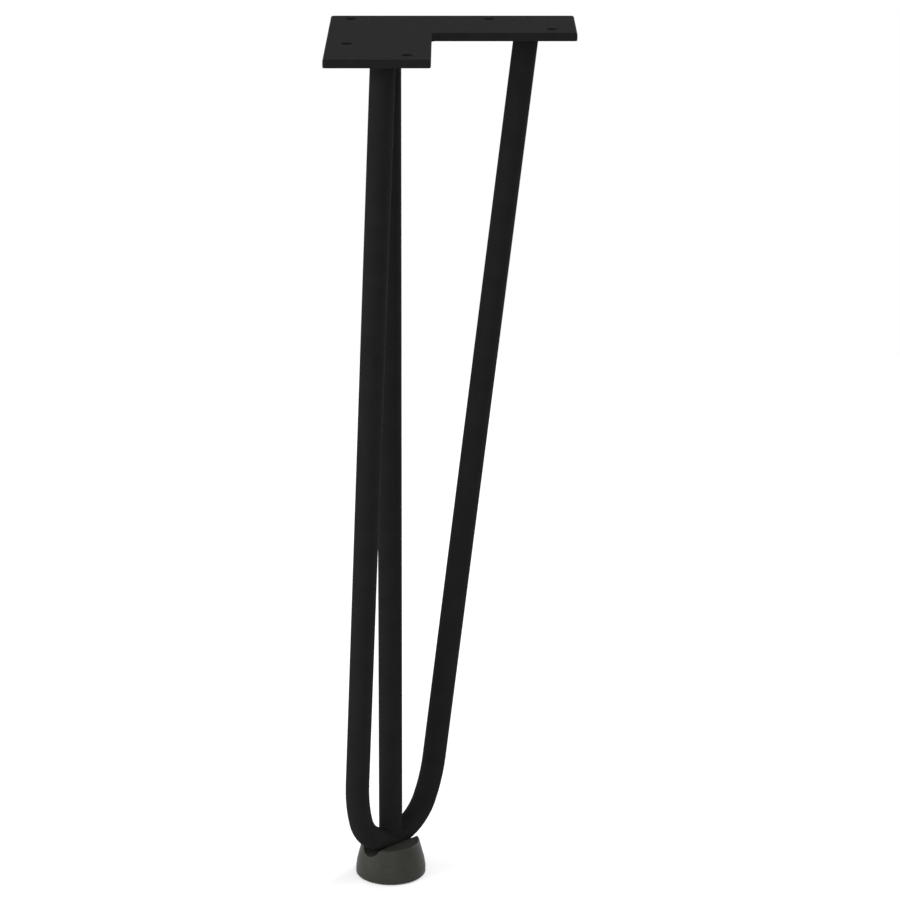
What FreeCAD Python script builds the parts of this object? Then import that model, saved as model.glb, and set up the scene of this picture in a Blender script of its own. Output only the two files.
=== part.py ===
import FreeCAD, Part
import Sketcher
import math
import os

# A three-rod hairpin table leg: an L-shaped mounting plate, a U-bent rod and a straight rod
# welded under it, and a moulded foot that cradles the bend.
# The origin lies on the plate's top face, straight above the foot. +Z is up, +X runs along
# the rear arm of the plate and -Y along its front arm. All sizes are in millimetres, and
# seat_weld_turn and bend_half_angle are in degrees.
# Insets are measured inwards from the plate's outer edges, or from an arm's end or inner edge.
# cope_rise is the height of the straight rod's end over the bend's centreline before it is coped.
SIZES = {
    "leg_height": 448.0,
    "plate_length": 120.0,
    "arm_width": 50.0,
    "plate_thickness": 4.0,
    "inner_corner_radius": 2.5,
    "outer_corner_radius": 1.5,
    "top_edge_round": 1.0,
    "under_edge_bevel": 0.3,
    "screw_hole_diameter": 5.4,
    "hole_edge_inset": 10.0,
    "hole_mid_reach": 78.0,
    "hole_end_inset": 12.0,
    "hole_inner_inset": 11.0,
    "rod_diameter": 12.2,
    "rod_side_inset": 27.5,
    "rod_end_inset": 24.0,
    "straight_rod_inset": 29.0,
    "bend_radius": 24.5,
    "shoulder_radius": 80.0,
    "bend_half_angle": 70.0,
    "cope_rise": 2.5,
    "weld_leg": 2.0,
    "weld_height": 3.0,
    "seat_weld_leg": 2.6,
    "seat_weld_depth": 4.5,
    "seat_weld_turn": 80.0,
    "foot_inset": 27.7,
    "foot_diameter": 36.4,
    "foot_top_diameter": 30.0,
    "foot_height": 18.0,
    "foot_waist_height": 4.0,
    "foot_shoulder_height": 8.0,
    "foot_shoulder_drop": 0.6,
    "sole_bevel": 0.8,
    "rim_bevel": 0.4,
    "saddle_floor": 13.5,
    "saddle_clearance": 0.2,
}

# The leg is symmetric about the plate's diagonal, so the rods and the foot are drawn in frames
# turned by this angle about +Z: X along the bend, -Y from the plate's corner outwards.
DIAGONAL = 45.0

# Points closer together than this, in millimetres, count as one.
TOLERANCE = 1e-6

# Expressions shared by the pieces
ROD_RADIUS = "Sizes.rod_diameter / 2"
AXIS_HEIGHT = "(Sizes.saddle_floor + Sizes.rod_diameter / 2)"
ROD_RISE = f"(Sizes.leg_height - Sizes.plate_thickness - {AXIS_HEIGHT})"
ROD_END = "(Sizes.plate_length - Sizes.rod_end_inset)"
HALF_SPAN = f"(({ROD_END} - Sizes.rod_side_inset) / sqrt(2))"
ROD_RUN = f"(({ROD_END} + Sizes.rod_side_inset) / sqrt(2) - Sizes.foot_inset * sqrt(2))"
STRAIGHT_RUN = "((Sizes.straight_rod_inset - Sizes.foot_inset) * sqrt(2))"
LEAN = f"atan({ROD_RUN} / {ROD_RISE})"

doc = FreeCAD.newDocument("HairpinLeg")


def fill_sheet():
    """Put every driving size in a spreadsheet cell named after it."""
    sheet = doc.addObject("Spreadsheet::Sheet", "Sizes")
    for row, (name, size) in enumerate(SIZES.items(), 1):
        sheet.set(f"A{row}", name)
        sheet.set(f"B{row}", str(size))
        sheet.setAlias(f"B{row}", name)
    doc.recompute()
    return sheet


sizes = fill_sheet()


def value(expression):
    """The number that an expression of the sheet's sizes gives."""
    return float(sizes.evalExpression(expression.replace("Sizes.", "")))


def new_body(name, angle=0.0):
    """An empty body turned about +Z; its base point is bound by the caller."""
    body = doc.addObject("PartDesign::Body", name)
    body.Label = name
    turn = FreeCAD.Rotation(FreeCAD.Vector(0, 0, 1), angle)
    body.Placement = FreeCAD.Placement(FreeCAD.Vector(0, 0, 0), turn)
    return body


def plane(body, role):
    """One of the body's own origin planes, such as XY_Plane."""
    return next(f for f in body.Origin.OriginFeatures if f.Role == role)


def new_sketch(body, role, name):
    """An empty sketch on one of the body's origin planes."""
    sketch = body.newObject("Sketcher::SketchObject", name)
    sketch.AttachmentSupport = (plane(body, role), [""])
    sketch.MapMode = "FlatFace"
    return sketch


def dimension(sketch, kind, name, expression, *geometry):
    """A named sketch dimension that follows an expression of the sheet's sizes."""
    number = value(expression)
    if kind == "Angle":
        number = math.radians(number)
    index = sketch.addConstraint(Sketcher.Constraint(kind, *geometry, number))
    sketch.renameConstraint(index, name)
    unit = " * 1 deg" if kind == "Angle" else ""
    sketch.setExpression(f"Constraints.{name}", expression + unit)


def closed_outline(sketch, points):
    """Straight lines through the points and back to the first, joined at their ends."""
    vectors = [FreeCAD.Vector(x, y, 0) for x, y in points]
    count = len(vectors)
    for index in range(count):
        sketch.addGeometry(Part.LineSegment(vectors[index], vectors[(index + 1) % count]), False)
    for index in range(count):
        sketch.addConstraint(Sketcher.Constraint("Coincident", index, 2, (index + 1) % count, 1))


def edges_where(feature, test):
    """Names of the feature's edges for which the test holds."""
    edges = feature.Shape.Edges
    return [f"Edge{number}" for number, edge in enumerate(edges, 1) if test(edge)]


def is_upright(edge):
    """True for a straight edge along Z."""
    start, end = edge.Vertexes[0].Point, edge.Vertexes[-1].Point
    sideways = math.hypot(start.x - end.x, start.y - end.y)
    return sideways < TOLERANCE and abs(start.z - end.z) > TOLERANCE


def lies_at(edge, height):
    """True for an edge that lies wholly in the level plane at this height."""
    box = edge.BoundBox
    return abs(box.ZMin - height) < TOLERANCE and abs(box.ZMax - height) < TOLERANCE


def add_fillet(body, base, name, edges, expression):
    """Round the named edges by a radius that follows the sheet."""
    fillet = body.newObject("PartDesign::Fillet", name)
    fillet.Base = (base, edges)
    fillet.Radius = value(expression)
    fillet.setExpression("Radius", expression)
    doc.recompute()
    return fillet


def add_chamfer(body, base, name, edges, expression):
    """Bevel the named edges by a size that follows the sheet."""
    chamfer = body.newObject("PartDesign::Chamfer", name)
    chamfer.Base = (base, edges)
    chamfer.Size = value(expression)
    chamfer.setExpression("Size", expression)
    doc.recompute()
    return chamfer


def plate_outline(body):
    """The L seen from above, its corner at the body's origin."""
    sketch = new_sketch(body, "XY_Plane", "PlateOutline")
    length, width = value("Sizes.plate_length"), value("Sizes.arm_width")
    closed_outline(sketch, [(0, 0), (length, 0), (length, -width), (width, -width),
                            (width, -length), (0, -length)])
    for line in (0, 2, 4):
        sketch.addConstraint(Sketcher.Constraint("Horizontal", line))
    for line in (1, 3, 5):
        sketch.addConstraint(Sketcher.Constraint("Vertical", line))
    sketch.addConstraint(Sketcher.Constraint("Coincident", 0, 1, -1, 1))
    dimension(sketch, "DistanceX", "rear_length", "Sizes.plate_length", 0, 1, 0, 2)
    dimension(sketch, "DistanceY", "front_length", "Sizes.plate_length", 5, 1, 5, 2)
    dimension(sketch, "DistanceY", "rear_width", "Sizes.arm_width", 1, 2, 1, 1)
    dimension(sketch, "DistanceX", "front_width", "Sizes.arm_width", 4, 2, 4, 1)
    return sketch


def screw_hole_centres():
    """Hole centres from the plate's corner, as expressions of X and of the distance forwards."""
    edge = "Sizes.hole_edge_inset"
    reach = "Sizes.hole_mid_reach"
    side = "(Sizes.arm_width - Sizes.hole_inner_inset)"
    end = "(Sizes.plate_length - Sizes.hole_end_inset)"
    return [(edge, edge), (edge, reach), (reach, edge), (side, end), (end, side)]


def screw_holes(body):
    """Five round holes through the plate, set out evenly about its diagonal."""
    sketch = new_sketch(body, "XY_Plane", "ScrewHoles")
    radius = value("Sizes.screw_hole_diameter / 2")
    for index, (across, forwards) in enumerate(screw_hole_centres()):
        centre = FreeCAD.Vector(value(across), -value(forwards), 0)
        sketch.addGeometry(Part.Circle(centre, FreeCAD.Vector(0, 0, 1), radius), False)
        dimension(sketch, "Radius", f"hole_{index}", "Sizes.screw_hole_diameter / 2", index)
        dimension(sketch, "DistanceX", f"across_{index}", across, -1, 1, index, 3)
        dimension(sketch, "DistanceY", f"forwards_{index}", forwards, index, 3, -1, 1)
    pocket = body.newObject("PartDesign::Pocket", "ScrewHolePocket")
    pocket.Profile = sketch
    pocket.Type = "ThroughAll"
    return pocket


def make_mounting_plate():
    """Flat L of sheet steel with softened corners and screw holes."""
    body = new_body("mounting_plate")
    body.setExpression("Placement.Base.x", "-Sizes.foot_inset")
    body.setExpression("Placement.Base.y", "Sizes.foot_inset")
    pad = body.newObject("PartDesign::Pad", "PlateSheet")
    pad.Profile = plate_outline(body)
    pad.setExpression("Length", "Sizes.plate_thickness")
    pad.Reversed = True
    doc.recompute()
    width, thickness = value("Sizes.arm_width"), value("Sizes.plate_thickness")

    def is_inner(edge):
        point = edge.CenterOfMass
        return math.hypot(point.x - width, point.y + width) < TOLERANCE

    inner = edges_where(pad, lambda edge: is_upright(edge) and is_inner(edge))
    step = add_fillet(body, pad, "InnerCorner", inner, "Sizes.inner_corner_radius")

    reach = value("2 * Sizes.inner_corner_radius")

    def is_outer(edge):
        point = edge.CenterOfMass
        near_inner = math.hypot(point.x - width, point.y + width) < reach
        return is_upright(edge) and not near_inner

    outer = edges_where(step, is_outer)
    step = add_fillet(body, step, "OuterCorners", outer, "Sizes.outer_corner_radius")
    top = edges_where(step, lambda edge: lies_at(edge, 0.0))
    step = add_fillet(body, step, "TopEdge", top, "Sizes.top_edge_round")
    under = edges_where(step, lambda edge: lies_at(edge, -thickness))
    add_chamfer(body, step, "UnderEdge", under, "Sizes.under_edge_bevel")
    screw_holes(body)
    doc.recompute()
    return body


def lean_out(sketch, expression):
    """Turn a sketch about its own X axis by an angle that follows the sheet.

    The first degree only sets the axis, which the expression keeps.
    """
    sketch.AttachmentOffset = FreeCAD.Placement(
        FreeCAD.Vector(0, 0, 0), FreeCAD.Rotation(FreeCAD.Vector(1, 0, 0), 1.0))
    sketch.setExpression("AttachmentOffset.Rotation.Angle", expression)


def bend_centreline(body):
    """Half of the bent rod's centreline, from the bottom of the bend towards one end.

    It is a bottom arc, a wider shoulder arc and a straight run that is tangent to the shoulder
    and passes through the rod's end point under the plate. The sketch plane leans with the rod.
    """
    sketch = new_sketch(body, "XZ_Plane", "Centreline")
    lean_out(sketch, LEAN)
    inner, outer = value("Sizes.bend_radius"), value("Sizes.shoulder_radius")
    turn = math.radians(value("Sizes.bend_half_angle"))
    down = -math.pi / 2
    up = FreeCAD.Vector(0, 0, 1)
    bottom = Part.Circle(FreeCAD.Vector(0, inner, 0), up, inner)
    sketch.addGeometry(Part.ArcOfCircle(bottom, down, down + turn), False)
    sketch.addConstraint(Sketcher.Constraint("Coincident", 0, 1, -1, 1))
    sketch.addConstraint(Sketcher.Constraint("PointOnObject", 0, 3, -2))
    dimension(sketch, "Radius", "bend", "Sizes.bend_radius", 0)
    dimension(sketch, "Angle", "half_turn", "Sizes.bend_half_angle", 0)

    centre_x = -(outer - inner) * math.sin(turn)
    centre_y = inner + (outer - inner) * math.cos(turn)
    half_span = value(HALF_SPAN)
    slope_length = math.hypot(value(ROD_RISE), value(ROD_RUN))
    reach = math.hypot(half_span - centre_x, slope_length - centre_y)
    bearing = math.atan2(slope_length - centre_y, half_span - centre_x)
    last = bearing - math.acos(outer / reach)
    shoulder = Part.Circle(FreeCAD.Vector(centre_x, centre_y, 0), up, outer)
    sketch.addGeometry(Part.ArcOfCircle(shoulder, down + turn, last), False)
    start_x = centre_x + outer * math.cos(last)
    start_y = centre_y + outer * math.sin(last)
    spare = value("Sizes.rod_diameter")
    end_y = slope_length + spare
    end_x = start_x + (half_span - start_x) * (end_y - start_y) / (slope_length - start_y)
    sketch.addGeometry(Part.LineSegment(FreeCAD.Vector(start_x, start_y, 0),
                                        FreeCAD.Vector(end_x, end_y, 0)), False)
    sketch.addGeometry(Part.Point(FreeCAD.Vector(half_span, slope_length, 0)), True)
    sketch.addConstraint(Sketcher.Constraint("Tangent", 0, 2, 1, 1))
    sketch.addConstraint(Sketcher.Constraint("Tangent", 1, 2, 2, 1))
    sketch.addConstraint(Sketcher.Constraint("PointOnObject", 3, 1, 2))
    slope = f"sqrt({ROD_RISE} ^ 2 + {ROD_RUN} ^ 2)"
    dimension(sketch, "Radius", "shoulder", "Sizes.shoulder_radius", 1)
    dimension(sketch, "DistanceX", "half_span", HALF_SPAN, -1, 1, 3, 1)
    dimension(sketch, "DistanceY", "slope_length", slope, -1, 1, 3, 1)
    dimension(sketch, "DistanceY", "run_out", f"{slope} + Sizes.rod_diameter", -1, 1, 2, 2)
    return sketch


def rod_section(body):
    """The rod's round section at the bottom of the bend."""
    sketch = new_sketch(body, "YZ_Plane", "RodSection")
    circle = Part.Circle(FreeCAD.Vector(0, 0, 0), FreeCAD.Vector(0, 0, 1), value(ROD_RADIUS))
    sketch.addGeometry(circle, False)
    sketch.addConstraint(Sketcher.Constraint("Coincident", 0, 3, -1, 1))
    dimension(sketch, "Radius", "rod", ROD_RADIUS, 0)
    return sketch


def bind_offset(feature, across, outwards, upwards):
    """Set a feature out from its plane by expressions along X, -Y and Z."""
    feature.setExpression("AttachmentOffset.Base.x", across)
    feature.setExpression("AttachmentOffset.Base.y", f"-({outwards})")
    feature.setExpression("AttachmentOffset.Base.z", upwards)


def weld_ring(body, across, outwards):
    """A sloping weld bead all round a rod's end, widest at the plate's underside.

    Its lower rim lies inside the rod, so that it leaves the rod's face all the way round.
    """
    ring = body.newObject("PartDesign::AdditiveCone", "WeldRing")
    ring.AttachmentSupport = (plane(body, "XY_Plane"), [""])
    ring.MapMode = "FlatFace"
    bind_offset(ring, across, outwards, f"{ROD_RISE} - Sizes.weld_height")
    ring.setExpression("Radius1", f"{ROD_RADIUS} - Sizes.weld_leg / 2")
    ring.setExpression("Radius2", f"{ROD_RADIUS} + Sizes.weld_leg")
    ring.setExpression("Height", "Sizes.weld_height")
    doc.recompute()
    return ring


def trim_under_plate(body):
    """Cut the rod's ends and beads off level with the plate's underside."""
    sketch = new_sketch(body, "XY_Plane", "TrimArea")
    bind_offset(sketch, "0", "0", ROD_RISE)
    radius = value("2 * Sizes.plate_length")
    circle = Part.Circle(FreeCAD.Vector(0, 0, 0), FreeCAD.Vector(0, 0, 1), radius)
    sketch.addGeometry(circle, False)
    sketch.addConstraint(Sketcher.Constraint("Coincident", 0, 3, -1, 1))
    dimension(sketch, "Radius", "trim", "2 * Sizes.plate_length", 0)
    trim = body.newObject("PartDesign::Pocket", "Trim")
    trim.Profile = sketch
    trim.Type = "ThroughAll"
    trim.Reversed = True
    doc.recompute()
    return trim


def make_hairpin_rod():
    """One round rod bent into a tall U, its two ends welded under the plate's arms."""
    body = new_body("hairpin_rod", DIAGONAL)
    body.setExpression("Placement.Base.z", f"-Sizes.leg_height + {AXIS_HEIGHT}")
    path = bend_centreline(body)
    section = rod_section(body)
    doc.recompute()
    sweep = body.newObject("PartDesign::AdditivePipe", "BentRod")
    sweep.Profile = section
    sweep.Spine = (path, ["Edge1", "Edge2", "Edge3"])
    doc.recompute()
    mirror = body.newObject("PartDesign::Mirrored", "OtherBranch")
    mirror.Originals = [sweep]
    mirror.MirrorPlane = (plane(body, "YZ_Plane"), [""])
    body.Tip = mirror
    doc.recompute()
    weld_ring(body, HALF_SPAN, ROD_RUN)
    weld_ring(body, f"-{HALF_SPAN}", ROD_RUN)
    trim_under_plate(body)
    return body


def seat_weld(body):
    """Weld in the crook between the straight rod and the bend, on the rear arm's side.

    Its section is turned part of the way round the straight rod; the cope then cuts it to the
    bend's own round. The crook is the height at which the rod's side meets the bend's inner edge.
    """
    sketch = new_sketch(body, "XZ_Plane", "SeatWeldSection")
    crook = f"(Sizes.bend_radius - sqrt((Sizes.bend_radius - {ROD_RADIUS}) ^ 2 - ({ROD_RADIUS}) ^ 2))"
    inner, outer = f"({ROD_RADIUS} / 2)", f"({ROD_RADIUS} + Sizes.seat_weld_leg)"
    low = f"({crook} - Sizes.seat_weld_depth)"
    slope = f"({ROD_RADIUS} / 2 + Sizes.seat_weld_leg)"
    near, far = value(inner), value(outer)
    bottom, middle, top = value(low), value(crook), value(crook) + value(slope)
    closed_outline(sketch, [(near, bottom), (far, bottom), (far, middle), (near, top)])
    sketch.addConstraint(Sketcher.Constraint("Horizontal", 0))
    sketch.addConstraint(Sketcher.Constraint("Vertical", 1))
    sketch.addConstraint(Sketcher.Constraint("Vertical", 3))
    dimension(sketch, "DistanceX", "inner", inner, -1, 1, 0, 1)
    dimension(sketch, "DistanceX", "width", slope, 0, 1, 0, 2)
    dimension(sketch, "DistanceY", "low", low, -1, 1, 0, 1)
    dimension(sketch, "DistanceY", "side", "Sizes.seat_weld_depth", 1, 1, 1, 2)
    dimension(sketch, "DistanceY", "rise", slope, 1, 2, 2, 2)
    doc.recompute()
    weld = body.newObject("PartDesign::Revolution", "SeatWeld")
    weld.Profile = sketch
    weld.ReferenceAxis = (sketch, ["V_Axis"])
    weld.Midplane = True
    weld.setExpression("Angle", "Sizes.seat_weld_turn")
    doc.recompute()
    return weld


def cope_over_bend(body):
    """Cut the bend's round seat out of the straight rod by turning the rod's section.

    The section turns about the bend's own axis, a line that leans with the bend.
    """
    sketch = new_sketch(body, "YZ_Plane", "CopeSection")
    lean = math.radians(value(LEAN))
    reach = value("Sizes.bend_radius")
    along = FreeCAD.Vector(math.cos(lean), math.sin(lean), 0)
    centre = FreeCAD.Vector(-reach * math.sin(lean), reach * math.cos(lean), 0)
    circle = Part.Circle(FreeCAD.Vector(0, 0, 0), FreeCAD.Vector(0, 0, 1), value(ROD_RADIUS))
    sketch.addGeometry(circle, False)
    sketch.addConstraint(Sketcher.Constraint("Coincident", 0, 3, -1, 1))
    dimension(sketch, "Radius", "rod", ROD_RADIUS, 0)
    sketch.addGeometry(Part.LineSegment(centre, centre + along * reach), True)
    dimension(sketch, "DistanceX", "axis_back", f"Sizes.bend_radius * sin({LEAN})", 1, 1, -1, 1)
    dimension(sketch, "DistanceY", "axis_up", f"Sizes.bend_radius * cos({LEAN})", -1, 1, 1, 1)
    dimension(sketch, "DistanceX", "axis_across", f"Sizes.bend_radius * cos({LEAN})", 1, 1, 1, 2)
    dimension(sketch, "DistanceY", "axis_lean", f"Sizes.bend_radius * sin({LEAN})", 1, 1, 1, 2)
    doc.recompute()
    groove = body.newObject("PartDesign::Groove", "Cope")
    groove.Profile = sketch
    groove.ReferenceAxis = (sketch, ["Axis0"])
    groove.Midplane = True
    groove.setExpression("Angle", "2 * Sizes.bend_half_angle")
    doc.recompute()
    return groove


def make_straight_rod():
    """A straight round rod from the plate down onto the bend, coped to sit astride it."""
    body = new_body("straight_rod", DIAGONAL)
    body.setExpression("Placement.Base.z", f"-Sizes.leg_height + {AXIS_HEIGHT}")
    lean = f"atan({STRAIGHT_RUN} / {ROD_RISE})"
    foot_end = new_sketch(body, "XY_Plane", "StraightSection")
    lean_out(foot_end, lean)
    foot_end.setExpression("AttachmentOffset.Base.z", "Sizes.cope_rise")
    circle = Part.Circle(FreeCAD.Vector(0, 0, 0), FreeCAD.Vector(0, 0, 1), value(ROD_RADIUS))
    foot_end.addGeometry(circle, False)
    foot_end.addConstraint(Sketcher.Constraint("Coincident", 0, 3, -1, 1))
    dimension(foot_end, "Radius", "rod", ROD_RADIUS, 0)
    bar = body.newObject("PartDesign::Pad", "StraightBar")
    bar.Profile = foot_end
    bar.setExpression("Length", f"{ROD_RISE} + Sizes.rod_diameter")
    doc.recompute()
    weld_ring(body, "0", STRAIGHT_RUN)
    trim_under_plate(body)
    seat_weld(body)
    cope_over_bend(body)
    return body


def foot_profile(body):
    """Half section of the foot: flat sole, short upright edge, shoulder, then a straight taper.

    The shoulder lies halfway round from the upright edge to the taper.
    """
    sketch = new_sketch(body, "XZ_Plane", "FootProfile")
    sole, rim = value("Sizes.foot_diameter / 2"), value("Sizes.foot_top_diameter / 2")
    waist, height = value("Sizes.foot_waist_height"), value("Sizes.foot_height")
    shoulder = value("Sizes.foot_shoulder_height")
    shoulder_radius = sole - value("Sizes.foot_shoulder_drop")
    closed_outline(sketch, [(0, 0), (sole, 0), (sole, waist), (shoulder_radius, shoulder),
                            (rim, height), (0, height)])
    for line in (0, 4):
        sketch.addConstraint(Sketcher.Constraint("Horizontal", line))
    for line in (1, 5):
        sketch.addConstraint(Sketcher.Constraint("Vertical", line))
    sketch.addConstraint(Sketcher.Constraint("Coincident", 0, 1, -1, 1))
    dimension(sketch, "DistanceX", "sole", "Sizes.foot_diameter / 2", 0, 1, 0, 2)
    dimension(sketch, "DistanceX", "rim", "Sizes.foot_top_diameter / 2", 4, 2, 4, 1)
    dimension(sketch, "DistanceX", "drop", "Sizes.foot_shoulder_drop", 2, 2, 2, 1)
    dimension(sketch, "DistanceY", "waist", "Sizes.foot_waist_height", 1, 1, 1, 2)
    dimension(sketch, "DistanceY", "shoulder", "Sizes.foot_shoulder_height", 0, 1, 2, 2)
    dimension(sketch, "DistanceY", "height", "Sizes.foot_height", 5, 2, 5, 1)
    return sketch


def saddle_section(body):
    """Section of the channel: a round floor for the rod and upright walls above it."""
    sketch = new_sketch(body, "YZ_Plane", "SaddleSection")
    radius_text = f"({ROD_RADIUS} + Sizes.saddle_clearance)"
    middle_text = f"(Sizes.saddle_floor + {radius_text})"
    radius, middle = value(radius_text), value(middle_text)
    open_text = "2 * Sizes.foot_height + 2 * Sizes.saddle_floor"
    top = value(open_text)
    left, right = FreeCAD.Vector(-radius, middle, 0), FreeCAD.Vector(radius, middle, 0)
    left_top, right_top = FreeCAD.Vector(-radius, top, 0), FreeCAD.Vector(radius, top, 0)
    circle = Part.Circle(FreeCAD.Vector(0, middle, 0), FreeCAD.Vector(0, 0, 1), radius)
    sketch.addGeometry(Part.ArcOfCircle(circle, math.pi, 2 * math.pi), False)
    sketch.addGeometry(Part.LineSegment(right, right_top), False)
    sketch.addGeometry(Part.LineSegment(right_top, left_top), False)
    sketch.addGeometry(Part.LineSegment(left_top, left), False)
    sketch.addConstraint(Sketcher.Constraint("Tangent", 0, 2, 1, 1))
    sketch.addConstraint(Sketcher.Constraint("Coincident", 1, 2, 2, 1))
    sketch.addConstraint(Sketcher.Constraint("Coincident", 2, 2, 3, 1))
    sketch.addConstraint(Sketcher.Constraint("Tangent", 3, 2, 0, 1))
    sketch.addConstraint(Sketcher.Constraint("Vertical", 1))
    sketch.addConstraint(Sketcher.Constraint("Horizontal", 2))
    sketch.addConstraint(Sketcher.Constraint("PointOnObject", 0, 3, -2))
    dimension(sketch, "Radius", "channel", radius_text, 0)
    dimension(sketch, "DistanceY", "middle", middle_text, -1, 1, 0, 3)
    dimension(sketch, "DistanceY", "opening", open_text, -1, 1, 1, 2)
    return sketch


def make_foot():
    """Turned foot with a straight channel across its top in which the bend lies."""
    body = new_body("foot", DIAGONAL)
    body.setExpression("Placement.Base.z", "-Sizes.leg_height")
    turned = body.newObject("PartDesign::Revolution", "FootBlank")
    turned.Profile = foot_profile(body)
    turned.ReferenceAxis = (turned.Profile[0], ["V_Axis"])
    turned.Angle = 360.0
    doc.recompute()
    height = value("Sizes.foot_height")
    at_sole = edges_where(turned, lambda edge: lies_at(edge, 0.0))
    step = add_chamfer(body, turned, "SoleEdge", at_sole, "Sizes.sole_bevel")
    at_rim = edges_where(step, lambda edge: lies_at(edge, height))
    add_chamfer(body, step, "Rim", at_rim, "Sizes.rim_bevel")
    channel = body.newObject("PartDesign::Pocket", "Saddle")
    channel.Profile = saddle_section(body)
    channel.Type = "ThroughAll"
    channel.Midplane = True
    doc.recompute()
    return body


def check_and_write(bodies):
    """Refuse a failed feature or a bad solid, then write one file a piece."""
    doc.recompute()
    failed = [item.Name for item in doc.Objects if "Invalid" in item.State or "Error" in item.State]
    if failed:
        raise RuntimeError(f"failed: {failed}")
    for body in bodies:
        shape = body.Shape
        if shape.isNull() or not shape.isValid() or len(shape.Solids) != 1:
            raise RuntimeError(f"bad solid: {body.Label}")
    os.makedirs("parts", exist_ok=True)
    for body in bodies:
        body.Shape.exportStep(f"parts/{body.Label}.step")
        box = body.Shape.BoundBox
        corners = [round(v, 3) for v in (box.XMin, box.YMin, box.ZMin, box.XMax, box.YMax, box.ZMax)]
        print(body.Label, "volume", round(body.Shape.Volume, 1), "box", corners)


check_and_write([make_mounting_plate(), make_hairpin_rod(), make_straight_rod(), make_foot()])
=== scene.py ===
import math
import bpy
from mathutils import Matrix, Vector


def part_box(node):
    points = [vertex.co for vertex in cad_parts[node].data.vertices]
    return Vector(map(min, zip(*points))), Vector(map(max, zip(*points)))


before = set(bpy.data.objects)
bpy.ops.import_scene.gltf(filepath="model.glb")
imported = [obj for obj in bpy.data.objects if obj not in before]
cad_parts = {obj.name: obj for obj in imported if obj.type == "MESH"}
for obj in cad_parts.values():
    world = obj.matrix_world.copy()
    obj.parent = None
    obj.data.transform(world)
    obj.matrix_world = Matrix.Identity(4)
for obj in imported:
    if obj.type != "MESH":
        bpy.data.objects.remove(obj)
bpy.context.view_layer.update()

MM = 0.001
IMAGE_SIZE = 900
SENSOR_WIDTH = 36.0

# Camera: a long lens in front of the leg and above it, tipped down so that it sees the plate's top
CAMERA_PLACE = Vector((31.08, -1599.09, 279.31)) * MM
CAMERA_DOWN_ANGLE = math.radians(17.215)
FOCAL_PIXELS = 3313.91

# Colours, linear
COAT_BLACK = (0.0103, 0.0103, 0.0103, 1.0)
COAT_SOFT_BLACK = (0.0119, 0.0119, 0.0119, 1.0)
FOOT_OLIVE = (0.0228, 0.0234, 0.0192, 1.0)
FOOT_OLIVE_PALE = (0.0295, 0.0301, 0.0255, 1.0)
FLOOR_WHITE = (0.92, 0.92, 0.92, 1.0)
WHITE = (1.0, 1.0, 1.0, 1.0)

# Powder coat: spot sizes of its clouds, orange peel and grain, and the depths of the last two
COAT_CLOUD = 9 * MM
COAT_PEEL = 0.9 * MM
COAT_GRAIN = 0.16 * MM
COAT_PEEL_DEPTH = 0.06 * MM
COAT_GRAIN_DEPTH = 0.02 * MM
COAT_CLOUD_RANGE = (0.35, 0.65)
COAT_ROUGHNESS = (0.78, 0.92)
COAT_GLOSS = 0.03

# Foot: spot sizes of its flow clouds and grain, and the grain's depth
FOOT_CLOUD = 7 * MM
FOOT_GRAIN = 0.25 * MM
FOOT_GRAIN_DEPTH = 0.03 * MM
FOOT_CLOUD_RANGE = (0.3, 0.7)
FOOT_CLOUD_SWIRL = 0.6
FOOT_ROUGHNESS = (0.42, 0.52)
FOOT_GLOSS = 0.14

# How strongly the bumps act, and how many finer layers each noise carries
COAT_BUMP = 0.5
FOOT_BUMP = 0.4
NOISE_DETAIL = 3.0
PEEL_DETAIL = 2.0

# Light levels, where 1 shows a white surface as white
WORLD_LIGHT = 0.5
FLOOR_GLOW = 0.28

# Floor: half its width in metres, and its small gap under the sole, which keeps the faces apart
FLOOR_REACH = 1.0
FLOOR_GAP = 0.1 * MM
FLOOR_ROUGHNESS = 0.9

# Soft lamps: name, place and size in metres, power in watts; all of them face LAMP_TARGET
LAMP_TARGET = (0.02, -0.03, -0.2)
LAMPS = [
    ("left", (-1.7, -0.6, 0.2), 1.5, 26.0),
    ("right", (1.3, 1.1, 0.4), 1.0, 14.0),
    ("front", (0.1, -1.9, 0.5), 0.8, 12.0),
    ("high", (0.8, -0.3, 1.4), 0.6, 4.0),
]


def new_material(name):
    """A node material with its shader and output; returns the material, nodes, links, shader."""
    material = bpy.data.materials.new(name)
    material.use_nodes = True
    nodes = material.node_tree.nodes
    return material, nodes, material.node_tree.links, nodes["Principled BSDF"]


def noise(nodes, links, size, detail, distortion=0.0):
    """Noise over the object's own coordinates whose spots are about this size in metres."""
    place = nodes.new("ShaderNodeTexCoord")
    texture = nodes.new("ShaderNodeTexNoise")
    texture.inputs["Scale"].default_value = 1.0 / size
    texture.inputs["Detail"].default_value = detail
    texture.inputs["Distortion"].default_value = distortion
    links.new(place.outputs["Object"], texture.inputs["Vector"])
    return texture.outputs["Fac"]


def ramp(nodes, links, source, positions, colours):
    """A colour ramp between two colours over part of the source's range."""
    node = nodes.new("ShaderNodeValToRGB")
    for element, position, colour in zip(node.color_ramp.elements, positions, colours):
        element.position = position
        element.color = colour
    links.new(source, node.inputs["Fac"])
    return node.outputs["Color"]


def spread(nodes, links, source, low, high):
    """A 0 to 1 source mapped onto low to high."""
    node = nodes.new("ShaderNodeMapRange")
    node.inputs["To Min"].default_value = low
    node.inputs["To Max"].default_value = high
    links.new(source, node.inputs["Value"])
    return node.outputs["Result"]


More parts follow.
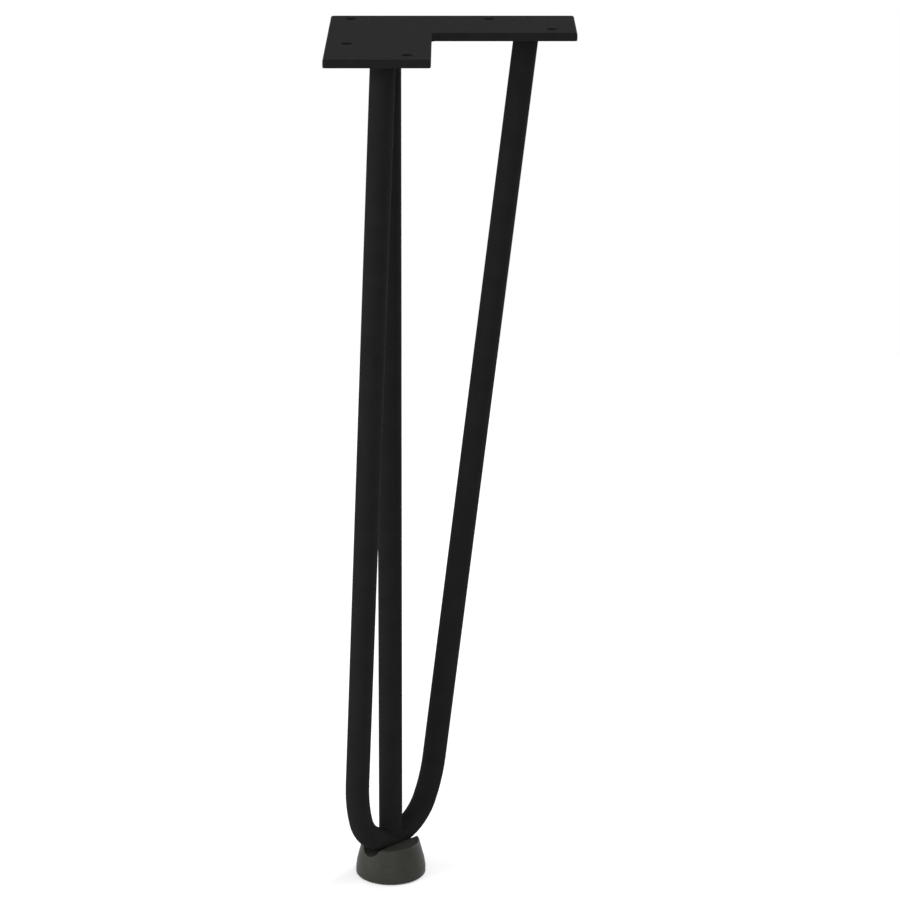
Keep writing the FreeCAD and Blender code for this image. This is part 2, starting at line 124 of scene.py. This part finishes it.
def bump(nodes, links, source, depth, strength, below=None):
    """A bump of this depth in metres, laid over another bump where one is given."""
    node = nodes.new("ShaderNodeBump")
    node.inputs["Strength"].default_value = strength
    node.inputs["Distance"].default_value = depth
    links.new(source, node.inputs["Height"])
    if below is not None:
        links.new(below, node.inputs["Normal"])
    return node.outputs["Normal"]


def powder_coat():
    """Matt black powder coat: a fine orange peel with a finer grain on it."""
    material, nodes, links, shader = new_material("powder_coated_steel")
    cloud = noise(nodes, links, COAT_CLOUD, NOISE_DETAIL)
    peel = noise(nodes, links, COAT_PEEL, PEEL_DETAIL)
    grain = noise(nodes, links, COAT_GRAIN, NOISE_DETAIL)
    colour = ramp(nodes, links, cloud, COAT_CLOUD_RANGE, (COAT_BLACK, COAT_SOFT_BLACK))
    links.new(colour, shader.inputs["Base Color"])
    links.new(spread(nodes, links, peel, *COAT_ROUGHNESS), shader.inputs["Roughness"])
    coarse = bump(nodes, links, peel, COAT_PEEL_DEPTH, COAT_BUMP)
    fine = bump(nodes, links, grain, COAT_GRAIN_DEPTH, COAT_BUMP, coarse)
    links.new(fine, shader.inputs["Normal"])
    shader.inputs["Specular IOR Level"].default_value = COAT_GLOSS
    return material


def foot_plastic():
    """Moulded olive-grey plastic: faint flow clouds and a fine spark-eroded grain."""
    material, nodes, links, shader = new_material("foot_plastic")
    cloud = noise(nodes, links, FOOT_CLOUD, NOISE_DETAIL, FOOT_CLOUD_SWIRL)
    grain = noise(nodes, links, FOOT_GRAIN, NOISE_DETAIL)
    colour = ramp(nodes, links, cloud, FOOT_CLOUD_RANGE, (FOOT_OLIVE, FOOT_OLIVE_PALE))
    links.new(colour, shader.inputs["Base Color"])
    links.new(spread(nodes, links, grain, *FOOT_ROUGHNESS), shader.inputs["Roughness"])
    links.new(bump(nodes, links, grain, FOOT_GRAIN_DEPTH, FOOT_BUMP), shader.inputs["Normal"])
    shader.inputs["Specular IOR Level"].default_value = FOOT_GLOSS
    return material


def dress_nodes():
    """Give every solid its finish."""
    finishes = dict.fromkeys(("mounting_plate", "hairpin_rod", "straight_rod"), powder_coat())
    finishes["foot"] = foot_plastic()
    for name, material in finishes.items():
        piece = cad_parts[name]
        for slot in piece.material_slots:
            slot.material = material


def seen_directly(nodes, links):
    """1 for rays from the camera, off gloss or through glass, and 0 for every other ray."""
    path = nodes.new("ShaderNodeLightPath")
    total = path.outputs["Is Camera Ray"]
    for name in ("Is Glossy Ray", "Is Transmission Ray"):
        larger = nodes.new("ShaderNodeMath")
        larger.operation = "MAXIMUM"
        links.new(total, larger.inputs[0])
        links.new(path.outputs[name], larger.inputs[1])
        total = larger.outputs[0]
    return total


def add_floor():
    """A wide pale floor under the sole; it shows as white but keeps the leg's shadow."""
    low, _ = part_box("foot")
    level = low[2] - FLOOR_GAP
    signs = [(-1, -1), (1, -1), (1, 1), (-1, 1)]
    corners = [(x * FLOOR_REACH, y * FLOOR_REACH, level) for x, y in signs]
    mesh = bpy.data.meshes.new("floor")
    mesh.from_pydata(corners, [], [(0, 1, 2, 3)])
    floor = bpy.data.objects.new("floor", mesh)
    bpy.context.scene.collection.objects.link(floor)
    material, nodes, links, shader = new_material("floor")
    shader.inputs["Base Color"].default_value = FLOOR_WHITE
    shader.inputs["Roughness"].default_value = FLOOR_ROUGHNESS
    shader.inputs["Specular IOR Level"].default_value = 0.0
    glow = nodes.new("ShaderNodeEmission")
    glow.inputs["Color"].default_value = WHITE
    strength = spread(nodes, links, seen_directly(nodes, links), 0.0, FLOOR_GLOW)
    links.new(strength, glow.inputs["Strength"])
    both = nodes.new("ShaderNodeAddShader")
    links.new(shader.outputs["BSDF"], both.inputs[0])
    links.new(glow.outputs["Emission"], both.inputs[1])
    links.new(both.outputs["Shader"], nodes["Material Output"].inputs["Surface"])
    mesh.materials.append(material)


def set_world():
    """White where it is seen, and a weaker light on the object."""
    world = bpy.data.worlds.new("studio")
    bpy.context.scene.world = world
    world.use_nodes = True
    nodes, links = world.node_tree.nodes, world.node_tree.links
    background = nodes["Background"]
    background.inputs["Color"].default_value = WHITE
    level = spread(nodes, links, seen_directly(nodes, links), WORLD_LIGHT, 1.0)
    links.new(level, background.inputs["Strength"])


def add_area_light(name, place, size, power):
    """A soft square lamp that faces the middle of the leg."""
    lamp = bpy.data.lights.new(name, "AREA")
    lamp.shape = "SQUARE"
    lamp.size = size
    lamp.energy = power
    holder = bpy.data.objects.new(name, lamp)
    holder.location = place
    direction = Vector(LAMP_TARGET) - Vector(place)
    holder.rotation_euler = direction.to_track_quat("-Z", "Y").to_euler()
    bpy.context.scene.collection.objects.link(holder)


def add_lights():
    """Lamps on both sides, the right one behind the leg; weaker ones in front and above."""
    for name, place, size, power in LAMPS:
        add_area_light(name, place, size, power)


def add_camera():
    """The photograph's view: a lens with no shift that looks down by a fixed angle."""
    camera = bpy.data.cameras.new("camera")
    camera.sensor_width = SENSOR_WIDTH
    camera.sensor_fit = "HORIZONTAL"
    camera.lens = FOCAL_PIXELS * SENSOR_WIDTH / IMAGE_SIZE
    holder = bpy.data.objects.new("camera", camera)
    holder.location = CAMERA_PLACE
    holder.rotation_euler = (math.pi / 2 - CAMERA_DOWN_ANGLE, 0.0, 0.0)
    bpy.context.scene.collection.objects.link(holder)
    bpy.context.scene.camera = holder


dress_nodes()
add_floor()
set_world()
add_lights()
add_camera()
bpy.context.scene.view_settings.view_transform = "Standard"
